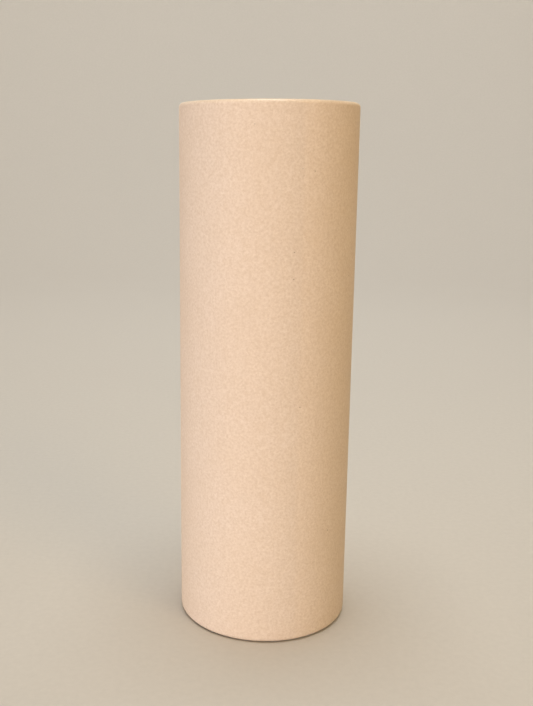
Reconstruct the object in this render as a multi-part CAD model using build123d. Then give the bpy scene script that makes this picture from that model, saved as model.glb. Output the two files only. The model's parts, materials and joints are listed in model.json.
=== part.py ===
"""Tall straight-sided cylinder vase, in millimetres.

A clear glass vessel, blown in one piece with its thick base, carries a sprayed matt lacquer coat on the outside.
+Z is up. The origin is the centre of the foot ring, in the plane that the vase stands on.
"""

from build123d import *
import math
import os

# Overall sizes
OUTER_DIAMETER = 100.0  # over the coat
HEIGHT = 300.0  # from the table to the top of the coated lip

# Glass vessel
WALL = 4.2  # the lip is a full round of this width
BASE_THICKNESS = 12.0  # from the table to the inside floor, where the floor meets its corner round
HEEL_RADIUS = 3.0  # outer corner between wall and foot
INNER_HEEL_RADIUS = 8.0  # inner corner between wall and floor
FLOOR_DISH = 1.2  # how far the middle of the inside floor lies below its edge
FOOT_RING_WIDTH = 8.0  # flat ring that the vase stands on
PUSH_UP = 2.0  # rise of the hollow underside at its middle

# Matt coat
COAT = 0.2  # lacquer film
COAT_HEEL_ANGLE = 62.0  # degrees that the film follows the heel, down from the wall
COAT_LIP_ANGLE = 40.0  # degrees that the film follows the lip, past its crest and into the mouth

# Worked out from the sizes above
GLASS_RADIUS = OUTER_DIAMETER / 2 - COAT
GLASS_TOP = HEIGHT - COAT
LIP_RADIUS = WALL / 2
BORE_RADIUS = GLASS_RADIUS - WALL
FLOOR_EDGE_RADIUS = BORE_RADIUS - INNER_HEEL_RADIUS
FOOT_OUTER_RADIUS = GLASS_RADIUS - HEEL_RADIUS
FOOT_INNER_RADIUS = FOOT_OUTER_RADIUS - FOOT_RING_WIDTH
HEEL_CENTRE = (FOOT_OUTER_RADIUS, HEEL_RADIUS)
LIP_CENTRE = (GLASS_RADIUS - LIP_RADIUS, GLASS_TOP - LIP_RADIUS)


def on_arc(centre, radius, angle):
    """The point of an arc at an angle in degrees, counted from the outward direction."""
    turn = math.radians(angle)
    return (centre[0] + radius * math.cos(turn), centre[1] + radius * math.sin(turn))


def crowned(edge_radius, edge_height, middle_height):
    """A shallow curve from the axis to an edge, level where it crosses the axis."""
    rise = middle_height - edge_height
    curve_radius = (edge_radius**2 + rise**2) / (2 * abs(rise))
    half_way = edge_radius / 2
    drop = curve_radius - math.sqrt(curve_radius**2 - half_way**2)
    between = (half_way, middle_height - math.copysign(drop, rise))
    return ThreePointArc((0, middle_height), between, (edge_radius, edge_height))


def turned(outline):
    """The solid that a closed outline, drawn in radius and height, makes about the vertical axis."""
    return revolve(Plane.XZ * make_face(outline), Axis.Z)


def glass_body():
    """The vessel: hollow underside, foot ring, heel, wall, full-round lip, bore and dished floor."""
    wall_bottom = (GLASS_RADIUS, HEEL_RADIUS)
    wall_top = (GLASS_RADIUS, LIP_CENTRE[1])
    bore_top = (BORE_RADIUS, LIP_CENTRE[1])
    bore_bottom = (BORE_RADIUS, BASE_THICKNESS + INNER_HEEL_RADIUS)
    corner_centre = (FLOOR_EDGE_RADIUS, BASE_THICKNESS + INNER_HEEL_RADIUS)
    floor_edge = (FLOOR_EDGE_RADIUS, BASE_THICKNESS)
    floor_middle = (0, BASE_THICKNESS - FLOOR_DISH)
    outline = [
        crowned(FOOT_INNER_RADIUS, 0, PUSH_UP),
        Line((FOOT_INNER_RADIUS, 0), (FOOT_OUTER_RADIUS, 0)),
        CenterArc(HEEL_CENTRE, HEEL_RADIUS, -90, 90),
        Line(wall_bottom, wall_top),
        CenterArc(LIP_CENTRE, LIP_RADIUS, 0, 180),
        Line(bore_top, bore_bottom),
        CenterArc(corner_centre, INNER_HEEL_RADIUS, 0, -90),
        crowned(floor_edge[0], floor_edge[1], floor_middle[1]),
        Line(floor_middle, (0, PUSH_UP)),
    ]
    return turned(outline)


def matt_coat():
    """The lacquer film: heel, wall and lip, with the same inner faces as the glass under it."""
    film_top = COAT_LIP_ANGLE + 90
    film_radius = GLASS_RADIUS + COAT
    heel_inside = on_arc(HEEL_CENTRE, HEEL_RADIUS, -COAT_HEEL_ANGLE)
    heel_outside = on_arc(HEEL_CENTRE, HEEL_RADIUS + COAT, -COAT_HEEL_ANGLE)
    lip_inside = on_arc(LIP_CENTRE, LIP_RADIUS, film_top)
    lip_outside = on_arc(LIP_CENTRE, LIP_RADIUS + COAT, film_top)
    outline = [
        Line(heel_inside, heel_outside),
        CenterArc(HEEL_CENTRE, HEEL_RADIUS + COAT, -COAT_HEEL_ANGLE, COAT_HEEL_ANGLE),
        Line((film_radius, HEEL_RADIUS), (film_radius, LIP_CENTRE[1])),
        CenterArc(LIP_CENTRE, LIP_RADIUS + COAT, 0, film_top),
        Line(lip_outside, lip_inside),
        CenterArc(LIP_CENTRE, LIP_RADIUS, film_top, -film_top),
        Line((GLASS_RADIUS, LIP_CENTRE[1]), (GLASS_RADIUS, HEEL_RADIUS)),
        CenterArc(HEEL_CENTRE, HEEL_RADIUS, 0, -COAT_HEEL_ANGLE),
    ]
    return turned(outline)


PARTS = {
    "glass_body": glass_body,
    "matt_coat": matt_coat,
}

os.makedirs("parts", exist_ok=True)
for name, make in PARTS.items():
    part = make()
    part.label = name
    export_step(part, f"parts/{name}.step")
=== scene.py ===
"""Looks of the cylinder vase: its clear glass vessel, its matt lacquer, a pale studio and the camera.

All lengths are metres unless a name or comment says otherwise. +Z is up and the vase stands on Z = 0.
"""

import json
import math

import bmesh
import bpy
from mathutils import Matrix, Vector


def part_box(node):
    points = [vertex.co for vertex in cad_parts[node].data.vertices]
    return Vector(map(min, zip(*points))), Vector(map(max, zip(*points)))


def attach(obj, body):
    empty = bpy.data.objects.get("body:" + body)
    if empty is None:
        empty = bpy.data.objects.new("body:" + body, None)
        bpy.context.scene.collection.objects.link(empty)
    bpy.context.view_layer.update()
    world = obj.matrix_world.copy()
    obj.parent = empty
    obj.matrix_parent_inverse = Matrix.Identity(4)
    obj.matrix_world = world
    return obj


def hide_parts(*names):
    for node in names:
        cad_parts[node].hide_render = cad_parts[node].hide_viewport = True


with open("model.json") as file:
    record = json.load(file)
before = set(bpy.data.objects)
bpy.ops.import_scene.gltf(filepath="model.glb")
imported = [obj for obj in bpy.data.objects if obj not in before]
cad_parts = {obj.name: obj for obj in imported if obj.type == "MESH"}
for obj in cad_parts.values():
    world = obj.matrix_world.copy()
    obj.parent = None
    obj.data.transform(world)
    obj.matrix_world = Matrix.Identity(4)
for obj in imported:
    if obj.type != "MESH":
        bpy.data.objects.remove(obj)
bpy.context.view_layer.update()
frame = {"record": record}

MM = 0.001
AROUND = 240  # facets round the vase

# The vase, from the frame
GLASS_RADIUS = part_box("glass_body")[1].x
GLASS_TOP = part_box("glass_body")[1].z
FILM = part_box("matt_coat")[1].x - GLASS_RADIUS
MOUTH = next(m for m in frame["record"]["mounts"] if m["name"] == "mouth_bore")
BORE_RADIUS = MOUTH["dims"]["r_mm"] * MM

# The glass, as the CAD has it
LIP_ROUND = (GLASS_RADIUS - BORE_RADIUS) / 2
LIP_CENTRE = (GLASS_RADIUS - LIP_ROUND, GLASS_TOP - LIP_ROUND)
HEEL_ROUND = 3 * MM
HEEL_CENTRE = (GLASS_RADIUS - HEEL_ROUND, HEEL_ROUND)
CORNER_ROUND = 8 * MM
FLOOR_LEVEL = 12 * MM
FLOOR_DISH = 1.2 * MM
FOOT_RING = 8 * MM
PUSH_UP = 2 * MM

# The lacquer film, with angles in degrees from the wall round the heel or the lip
FILM_GRIP = 0.05 * MM  # its back lies this far inside the glass, so that the two share no face
FILM_HEEL_END = 62
FILM_LIP_END = 130  # 90 is the crest of the lip
FEATHER = 16  # the last stretch, over which the film thins out
WANDER = 5  # how far the thin edge strays to either side

# Finishes
CREAM = "DCC6AC"  # the lacquer's colour
CREAM_FULL = "E4D0B9"  # where the passes overlap
CREAM_THIN = "E1CCB3"
CREAM_PIT = "D1B89B"  # in the hollows of the grain
# Dark brown, for the dust nibs and for the darkening towards the foot
DUST_AND_FOOT_DARKENING = "7E6448"
MIST_DEPTH = 11 * MM  # how far stray lacquer reaches down the bore

# The studio
PAPER_TOP = -0.05 * MM  # the paper lies this far under the foot, so that the two share no face
PAPER_FLAT = 1.4  # radius of its level floor
PAPER_CURVE = 0.9  # radius of the curve up to its wall
PAPER_HEIGHT = 2.6

# The camera, for a picture of 533 by 706
IMAGE_WIDTH = 533
IMAGE_HEIGHT = 706
FOCAL = 908.0
OPTICAL_AXIS_X = 220.5
CAMERA_DISTANCE = 0.5210
CAMERA_HEIGHT = 0.2737
CAMERA_DOWN = 12.484
CAMERA_LEFT = 2.911
CAMERA_ROLL = 0.243
SENSOR = 36.0


def linear(hex_colour):
    """An sRGB hex colour as linear RGBA."""
    shares = [int(hex_colour[i : i + 2], 16) / 255 for i in (0, 2, 4)]
    return [s / 12.92 if s <= 0.04045 else ((s + 0.055) / 1.055) ** 2.4 for s in shares] + [1.0]


def node(tree, kind, inputs=None, **settings):
    """Adds a node with its settings, and gives each input, by name or number, a value or a link."""
    added = tree.nodes.new(kind)
    for name, value in settings.items():
        setattr(added, name, value)
    for name, value in (inputs or {}).items():
        if isinstance(value, bpy.types.NodeSocket):
            tree.links.new(value, added.inputs[name])
        else:
            added.inputs[name].default_value = value
    return added


# ---- Turned shapes: one moving point draws an outline in radius and height, which is spun about the axis


def start_at(radius, height):
    """A new outline and its moving point."""
    outline = bmesh.new()
    point = bmesh.ops.create_vert(outline, co=(radius, 0, height))["vert"][0]
    return outline, point


def straight_to(outline, point, radius, height, steps=1):
    """Draws a straight run in equal steps and returns its end."""
    step = (Vector((radius, 0, height)) - point.co) / steps
    for _ in range(steps):
        place = point.co + step
        point = bmesh.ops.extrude_vert_indiv(outline, verts=[point])["verts"][0]
        point.co = place
    return point


def round_about(outline, point, centre, degrees, steps):
    """Draws an arc about a centre and returns its end. Above 0 degrees it turns from outward to upward."""
    drawn = bmesh.ops.spin(
        outline,
        geom=[point],
        cent=(centre[0], 0, centre[1]),
        axis=(0, -1, 0),
        angle=math.radians(degrees),
        steps=steps,
        use_duplicate=False,
    )
    return drawn["geom_last"][0]


def crown(outline, point, edge_radius, rise, middle_height, steps):
    """Draws the shallow curve between the middle, where it is level, and an edge that lies rise below it."""
    curve_radius = (edge_radius**2 + rise**2) / (2 * abs(rise))
    centre = (0, middle_height - math.copysign(curve_radius, rise))
    return round_about(outline, point, centre, -math.degrees(math.asin(edge_radius / curve_radius)), steps)


def turned(outline):
    """Spins an outline right round, closes its seam and poles, and faces it outward."""
    bmesh.ops.spin(
        outline,
        geom=outline.verts[:] + outline.edges[:],
        cent=(0, 0, 0),
        axis=(0, 0, 1),
        angle=math.tau,
        steps=AROUND,
        use_merge=True,
        use_duplicate=False,
    )
    bmesh.ops.remove_doubles(outline, verts=outline.verts[:], dist=0.001 * MM)
    bmesh.ops.recalc_face_normals(outline, faces=outline.faces[:])
    for face in outline.faces:
        face.smooth = True


def piece(name, shape, *materials):
    """The finished shape as an object at the origin."""
    mesh = bpy.data.meshes.new(name)
    shape.to_mesh(mesh)
    shape.free()
    for material in materials:
        mesh.materials.append(material)
    made = bpy.data.objects.new(name, mesh)
    bpy.context.scene.collection.objects.link(made)
    return made


def eased(share):
    """0 to 1 with a level start and end."""
    share = min(max(share, 0.0), 1.0)
    return share * share * (3 - 2 * share)


# ---- The two pieces of the vase


def ripple_bore(shape):
    """Blown glass is never quite true: the bore swells and narrows by a tenth of a millimetre or so."""
    bottom, top = FLOOR_LEVEL + CORNER_ROUND, LIP_CENTRE[1]
    for vert in shape.verts:
        radius = vert.co.xy.length
        if bottom < vert.co.z < top and radius < BORE_RADIUS + 0.1 * MM:
            around = math.atan2(vert.co.y, vert.co.x)
            height = (vert.co.z - bottom) / (top - bottom)
            swell = (
                math.sin(3 * around + 9 * height)
                + 0.7 * math.sin(5 * around - 14 * height + 1.0)
                + 0.5 * math.sin(2 * around + 31 * height + 2.0)
            )
            fade = eased(8 * height) * eased(8 * (1 - height))
            vert.co.xy *= 1 + 0.07 * MM * swell * fade / radius


def vessel():
    """Hollow underside, foot ring, heel, wall, full-round lip, bore and dished floor."""
    foot_outer = HEEL_CENTRE[0]
    foot_inner = foot_outer - FOOT_RING
    corner_centre = (BORE_RADIUS - CORNER_ROUND, FLOOR_LEVEL + CORNER_ROUND)
    shape, point = start_at(0, PUSH_UP)
    point = crown(shape, point, foot_inner, PUSH_UP, PUSH_UP, 24)
    point = straight_to(shape, point, foot_outer, 0, 6)
    point = round_about(shape, point, HEEL_CENTRE, 90, 12)
    point = straight_to(shape, point, GLASS_RADIUS, LIP_CENTRE[1], 8)
    point = round_about(shape, point, LIP_CENTRE, 180, 24)
    point = straight_to(shape, point, BORE_RADIUS, corner_centre[1], 70)
    point = round_about(shape, point, corner_centre, -90, 16)
    crown(shape, point, corner_centre[0], -FLOOR_DISH, FLOOR_LEVEL - FLOOR_DISH, 24)
    turned(shape)
    ripple_bore(shape)
    return shape


def film_turns(place):
    """The centre, end angle, reach and angle of a place on the film's rounds, or None on the wall.

    A place is a radius and a height.
    """
    if place[1] > LIP_CENTRE[1]:
        centre, end = LIP_CENTRE, FILM_LIP_END
    elif place[1] < HEEL_CENTRE[1]:
        centre, end = HEEL_CENTRE, -FILM_HEEL_END
    else:
        return None
    arm = Vector((place[0] - centre[0], place[1] - centre[1]))
    return centre, end, arm.length, math.degrees(math.atan2(arm.y, arm.x))


def feather_film(outline):
    """Thins the outer face down to the back over the last stretch at both ends."""
    for vert in outline.verts:
        found = film_turns((vert.co.x, vert.co.z))
        if found is None:
            continue
        centre, end, reach, angle = found
        back = (LIP_ROUND if end > 0 else HEEL_ROUND) - FILM_GRIP
        kept = eased(abs(end - angle) / FEATHER)
        reach = back + (reach - back) * kept
        turn = math.radians(angle)
        vert.co.x = centre[0] + reach * math.cos(turn)
        vert.co.z = centre[1] + reach * math.sin(turn)


def stray_film(shape):
    """Lets the sprayed edges wander a little round the vase."""
    for vert in shape.verts:
        radius = vert.co.xy.length
        found = film_turns((radius, vert.co.z))
        if found is None:
            continue
        centre, end, reach, angle = found
        around = math.atan2(vert.co.y, vert.co.x)
        wave = (
            math.sin(5 * around + 0.4)
            + 0.6 * math.sin(13 * around + 2.1)
            + 0.4 * math.sin(29 * around + (4.0 if end > 0 else 1.0))
        ) / 2
        near = eased(1 - abs(end - angle) / (2 * FEATHER))
        turn = math.radians(angle + WANDER * wave * near)
        vert.co.xy *= (centre[0] + reach * math.cos(turn)) / radius
        vert.co.z = centre[1] + reach * math.sin(turn)


def prime_back(shape):
    """The film's back, against the glass, is its first coat: these faces take the second material."""
    for face in shape.faces:
        middle = face.calc_center_median()
        radius = middle.xy.length
        found = film_turns((radius, middle.z))
        if found is None:
            face.material_index = int(radius < GLASS_RADIUS)
        else:
            centre, end, reach, angle = found
            face.material_index = int(reach < (LIP_ROUND if end > 0 else HEEL_ROUND))


def lacquer_film():
    """The film: outer face from heel to lip, then its back, just inside the glass."""
    outer_radius = GLASS_RADIUS + FILM
    back_radius = GLASS_RADIUS - FILM_GRIP
    turn = math.radians(FILM_HEEL_END)
    heel_reach = HEEL_ROUND + FILM
    shape, point = start_at(
        HEEL_CENTRE[0] + heel_reach * math.cos(turn), HEEL_CENTRE[1] - heel_reach * math.sin(turn)
    )
    point = round_about(shape, point, HEEL_CENTRE, FILM_HEEL_END, 20)
    point = straight_to(shape, point, outer_radius, LIP_CENTRE[1], 60)
    point = round_about(shape, point, LIP_CENTRE, FILM_LIP_END, 40)
    turn = math.radians(FILM_LIP_END)
    lip_reach = LIP_ROUND - FILM_GRIP
    point = straight_to(
        shape, point, LIP_CENTRE[0] + lip_reach * math.cos(turn), LIP_CENTRE[1] + lip_reach * math.sin(turn)
    )
    point = round_about(shape, point, LIP_CENTRE, -FILM_LIP_END, 20)
    point = straight_to(shape, point, back_radius, HEEL_CENTRE[1], 8)
    round_about(shape, point, HEEL_CENTRE, -FILM_HEEL_END, 12)
    feather_film(shape)
    turned(shape)
    prime_back(shape)
    stray_film(shape)
    return shape


# ---- Materials


def per_metre(size_mm):
    """The scale that gives a pattern features of this size, on Object coordinates in metres."""
    return 1 / (size_mm * MM)


def material_of(name):
    """A new material with its node tree, its shader and its Object coordinates."""
    material = bpy.data.materials.new(name)
    material.use_nodes = True
    tree = material.node_tree
    place = node(tree, "ShaderNodeTexCoord").outputs["Object"]
    return material, tree, tree.nodes["Principled BSDF"], place


def blown_glass():
    """Soda-lime glass, fire-polished. Clear with a faint green, ground dull where it stands.

    Inside the mouth a mist of stray lacquer dots thins out downwards.
    """
    material, tree, shader, place = material_of("blown_soda_lime_glass")
    height = node(tree, "ShaderNodeSeparateXYZ", {"Vector": place}).outputs["Z"]
    # Spray dots are 0.1 to 0.3 mm; drawn at 0.9 mm, the finest that shows
    dots = node(
        tree,
        "ShaderNodeTexNoise",
        {"Vector": place, "Scale": per_metre(0.9), "Detail": 1.0, "Roughness": 0.5},
    )
    reach = node(
        tree,
        "ShaderNodeMapRange",
        {
            "Value": height,
            "From Min": GLASS_TOP - MIST_DEPTH,
            "From Max": GLASS_TOP - LIP_ROUND / 2,
            "To Min": -0.80,
            "To Max": -0.42,
        },
    )
    over = node(
        tree, "ShaderNodeMath", {0: dots.outputs["Fac"], 1: reach.outputs["Result"]}, operation="ADD"
    )
    mist = node(
        tree, "ShaderNodeMapRange", {"Value": over.outputs["Value"], "From Min": 0.0, "From Max": 0.06}
    ).outputs["Result"]
    # The foot ring is scuffed by every shelf it has stood on
    foot = node(
        tree,
        "ShaderNodeMapRange",
        {"Value": height, "From Min": 0.15 * MM, "From Max": 0.7 * MM, "To Min": 1.0, "To Max": 0.0},
    ).outputs["Result"]
    scuffs = node(
        tree,
        "ShaderNodeTexNoise",
        {"Vector": place, "Scale": per_metre(2.5), "Detail": 4.0, "Roughness": 0.7},
    )
    ground = node(
        tree, "ShaderNodeMath", {0: foot, 1: scuffs.outputs["Fac"]}, operation="MULTIPLY"
    ).outputs["Value"]
    dull = node(tree, "ShaderNodeMath", {0: mist, 1: ground}, operation="MAXIMUM").outputs["Value"]
    rough = node(tree, "ShaderNodeMapRange", {"Value": dull, "To Min": 0.015, "To Max": 0.8})
    tint = node(
        tree,
        "ShaderNodeMix",
        {0: mist, 6: linear("FAFDFB"), 7: linear(CREAM)},
        data_type="RGBA",
    )
    clear = node(tree, "ShaderNodeMath", {0: 1.0, 1: mist}, operation="SUBTRACT")
    tree.links.new(tint.outputs[2], shader.inputs["Base Color"])
    tree.links.new(rough.outputs["Result"], shader.inputs["Roughness"])
    tree.links.new(clear.outputs["Value"], shader.inputs["Transmission Weight"])
    shader.inputs["IOR"].default_value = 1.52
    return material


def sprayed_lacquer():
    """Matt nitro lacquer from a spray gun: dead flat and chalky to the eye.

    It has a fine powdery grain, faint clouds where the passes overlap, a few nibs of dust and a slight rub
    on the crest of the lip. Its colour is patchily darker towards the foot, over the lowest 2 mm.
    """
    material, tree, shader, place = material_of("sprayed_matt_cream_lacquer")
    height = node(tree, "ShaderNodeSeparateXYZ", {"Vector": place}).outputs["Z"]
    clouds = node(
        tree,
        "ShaderNodeTexNoise",
        {"Vector": place, "Scale": per_metre(38), "Detail": 3.0, "Roughness": 0.55},
    ).outputs["Fac"]
    # Matting grains are 0.02 mm; drawn at 1.3 mm, the finest that shows
    grain = node(
        tree,
        "ShaderNodeTexNoise",
        {"Vector": place, "Scale": per_metre(1.3), "Detail": 2.0, "Roughness": 0.7},
    ).outputs["Fac"]
    peel = node(
        tree,
        "ShaderNodeTexNoise",
        {"Vector": place, "Scale": per_metre(4.5), "Detail": 1.0, "Roughness": 0.5},
    ).outputs["Fac"]
    nibs = node(
        tree, "ShaderNodeTexVoronoi", {"Vector": place, "Scale": per_metre(15)}
    ).outputs["Distance"]

    cloud_share = node(tree, "ShaderNodeMapRange", {"Value": clouds, "From Min": 0.3, "From Max": 0.7})
    clouded = node(
        tree,
        "ShaderNodeMix",
        {0: cloud_share.outputs["Result"], 6: linear(CREAM_THIN), 7: linear(CREAM_FULL)},
        data_type="RGBA",
    ).outputs[2]
    grain_share = node(
        tree,
        "ShaderNodeMapRange",
        {"Value": grain, "From Min": 0.3, "From Max": 0.7, "To Min": 0.0, "To Max": 0.84},
    )
    grained = node(
        tree,
        "ShaderNodeMix",
        {0: grain_share.outputs["Result"], 6: clouded, 7: linear(CREAM_PIT)},
        data_type="RGBA",
    ).outputs[2]
    nib_share = node(
        tree,
        "ShaderNodeMapRange",
        {"Value": nibs, "From Min": 0.018, "From Max": 0.034, "To Min": 0.55, "To Max": 0.0},
    )
    nibbed = node(
        tree,
        "ShaderNodeMix",
        {0: nib_share.outputs["Result"], 6: grained, 7: linear(DUST_AND_FOOT_DARKENING)},
        data_type="RGBA",
    ).outputs[2]
    # Darker towards the foot: over the lowest 2 mm the colour is mixed, in patches, towards dark brown
    heel = node(
        tree,
        "ShaderNodeMapRange",
        {"Value": height, "From Min": 0.0, "From Max": 2 * MM, "To Min": 0.5, "To Max": 0.0},
    ).outputs["Result"]
    foot_darkening_share = node(tree, "ShaderNodeMath", {0: heel, 1: peel}, operation="MULTIPLY").outputs["Value"]
    foot_darkened = node(
        tree, "ShaderNodeMix", {0: foot_darkening_share, 6: nibbed, 7: linear(DUST_AND_FOOT_DARKENING)}, data_type="RGBA"
    ).outputs[2]

    crest = node(
        tree,
        "ShaderNodeMapRange",
        {"Value": height, "From Min": LIP_CENTRE[1], "From Max": GLASS_TOP - 0.5 * MM},
    ).outputs["Result"]
    rub = node(tree, "ShaderNodeMath", {0: crest, 1: clouds}, operation="MULTIPLY").outputs["Value"]
    rough = node(
        tree, "ShaderNodeMapRange", {"Value": rub, "From Max": 0.5, "To Min": 0.88, "To Max": 0.33}
    )
    grain_bump = node(
        tree, "ShaderNodeBump", {"Height": grain, "Strength": 1.0, "Distance": 0.13 * MM}
    )
    peel_bump = node(
        tree,
        "ShaderNodeBump",
        {"Height": peel, "Strength": 1.0, "Distance": 0.08 * MM, "Normal": grain_bump.outputs["Normal"]},
    )
    tree.links.new(foot_darkened, shader.inputs["Base Color"])
    tree.links.new(rough.outputs["Result"], shader.inputs["Roughness"])
    tree.links.new(peel_bump.outputs["Normal"], shader.inputs["Normal"])
    shader.inputs["IOR"].default_value = 1.48
    return material


def sprayed_primer():
    """Pale cream glass primer, the lacquer's first coat: seen only from inside, through the glass.

    It looks even and milky, a little thinner in soft patches.
    """
    material, tree, shader, place = material_of("sprayed_cream_primer")
    coats = node(
        tree,
        "ShaderNodeTexNoise",
        {"Vector": place, "Scale": per_metre(25), "Detail": 4.0, "Roughness": 0.6},
    )
    share = node(
        tree, "ShaderNodeMapRange", {"Value": coats.outputs["Fac"], "From Min": 0.3, "From Max": 0.7}
    )
    primer = node(
        tree,
        "ShaderNodeMix",
        {0: share.outputs["Result"], 6: linear("F3E2CC"), 7: linear("FAECDA")},
        data_type="RGBA",
    )
    tree.links.new(primer.outputs[2], shader.inputs["Base Color"])
    shader.inputs["Roughness"].default_value = 0.8
    shader.inputs["IOR"].default_value = 1.48
    return material


def background_paper():
    """Pale uncoated background paper: matt, with the faint flecks of its pulp."""
    material, tree, shader, place = material_of("pale_background_paper")
    pulp = node(
        tree,
        "ShaderNodeTexNoise",
        {"Vector": place, "Scale": per_metre(4), "Detail": 3.0, "Roughness": 0.6},
    )
    share = node(
        tree, "ShaderNodeMapRange", {"Value": pulp.outputs["Fac"], "From Min": 0.3, "From Max": 0.7}
    )
    paper = node(
        tree,
        "ShaderNodeMix",
        {0: share.outputs["Result"], 6: linear("D8D3CC"), 7: linear("DCD7D0")},
        data_type="RGBA",
    )
    tree.links.new(paper.outputs[2], shader.inputs["Base Color"])
    shader.inputs["Roughness"].default_value = 0.9
    return material


# ---- The studio


def paper_bowl(material):
    """A seamless round of paper: level floor, wide curve and upright wall, the same from every side."""
    shape, point = start_at(0, PAPER_TOP)
    point = straight_to(shape, point, PAPER_FLAT, PAPER_TOP, 8)
    point = round_about(shape, point, (PAPER_FLAT, PAPER_TOP + PAPER_CURVE), 90, 24)
    straight_to(shape, point, PAPER_FLAT + PAPER_CURVE, PAPER_HEIGHT, 4)
    turned(shape)
    bmesh.ops.reverse_faces(shape, faces=shape.faces[:])
    return piece("paper_bowl", shape, material)


def soft_light(name, place, aim, width, height, power, hex_colour):
    """A rectangular softbox at a place, facing its aim, with its power in watts."""
    data = bpy.data.lights.new(name, "AREA")
    data.shape = "RECTANGLE"
    data.size = width
    data.size_y = height
    data.energy = power
    data.color = linear(hex_colour)[:3]
    made = bpy.data.objects.new(name, data)
    made.location = place
    made.rotation_euler = (Vector(aim) - Vector(place)).to_track_quat("-Z", "Y").to_euler()
    made.visible_camera = False
    bpy.context.scene.collection.objects.link(made)
    return made


def add_camera():
    """The camera, slightly below the lip, a little left of square on and looking down."""
    data = bpy.data.cameras.new("camera")
    data.sensor_width = SENSOR
    data.lens = FOCAL / IMAGE_HEIGHT * SENSOR
    data.shift_x = (IMAGE_WIDTH / 2 - OPTICAL_AXIS_X) / IMAGE_HEIGHT
    data.clip_start = 0.01
    made = bpy.data.objects.new("camera", data)
    aim = (
        Matrix.Rotation(math.radians(CAMERA_LEFT), 4, "Z")
        @ Matrix.Rotation(math.radians(90 - CAMERA_DOWN), 4, "X")
        @ Matrix.Rotation(math.radians(CAMERA_ROLL), 4, "Z")
    )
    made.matrix_world = Matrix.Translation((0, -CAMERA_DISTANCE, CAMERA_HEIGHT)) @ aim
    bpy.context.scene.collection.objects.link(made)
    bpy.context.scene.camera = made


glass = piece("vase_glass", vessel(), blown_glass())
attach(glass, "root")
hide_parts("glass_body")

coat = piece("vase_coat", lacquer_film(), sprayed_lacquer(), sprayed_primer())
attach(coat, "root")
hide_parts("matt_coat")

floor = paper_bowl(background_paper())

# Three softboxes light the vase alone: the two low ones in front would burn the paper near them white
vase_alone = bpy.data.collections.new("vase_alone")
vase_alone.objects.link(glass)
vase_alone.objects.link(coat)
key = soft_light("key", (-0.75, -0.95, 0.14), (0, 0, 0.06), 0.8, 0.24, 9.2, "F0EEFF")
front = soft_light("front", (-0.15, -1.35, 0.28), (0, 0, 0.12), 0.7, 0.45, 3.0, "FFFEFE")
key.light_linking.receiver_collection = vase_alone
front.light_linking.receiver_collection = vase_alone
# The third fills in the far side, and draws no highlight on the lip
rear = soft_light("rear", (-0.45, 1.2, 0.85), (0, 0, 0.15), 0.5, 0.5, 8.5, "FFF8F0")
rear.light_linking.receiver_collection = vase_alone
rear.visible_glossy = False

# A warm lamp high on the right, and one overhead that lights the crest of the lip and the bore
soft_light("high", (0.75, -0.85, 1.0), (0, 0, 0.25), 0.6, 0.5, 2.7, "FFD389")
soft_light("top", (0, 0, 1.3), (0, 0, 0), 0.5, 0.5, 7.0, "FFFFF9")
# Four washes even out the wall of the bowl, the strongest behind the vase
soft_light("wash_far", (0, 0.9, 1.7), (0, 2.3, 0.5), 1.6, 0.4, 15.6, "FFFEFA")
soft_light("wash_left", (-0.9, 0, 1.7), (-2.3, 0, 0.5), 1.6, 0.4, 5.0, "FFF5E2")
soft_light("wash_right", (0.9, 0, 1.7), (2.3, 0, 0.5), 1.6, 0.4, 5.0, "FFF5E2")
soft_light("wash_near", (0, -0.9, 1.7), (0, -2.3, 0.5), 1.6, 0.4, 5.0, "FFF5E2")

# A little even light comes over the paper's rim
world = bpy.data.worlds.new("studio_air")
world.use_nodes = True
world.node_tree.nodes["Background"].inputs["Color"].default_value = (1, 1, 1, 1)
world.node_tree.nodes["Background"].inputs["Strength"].default_value = 0.13
bpy.context.scene.world = world
bpy.context.scene.view_settings.view_transform = "Standard"

add_camera()
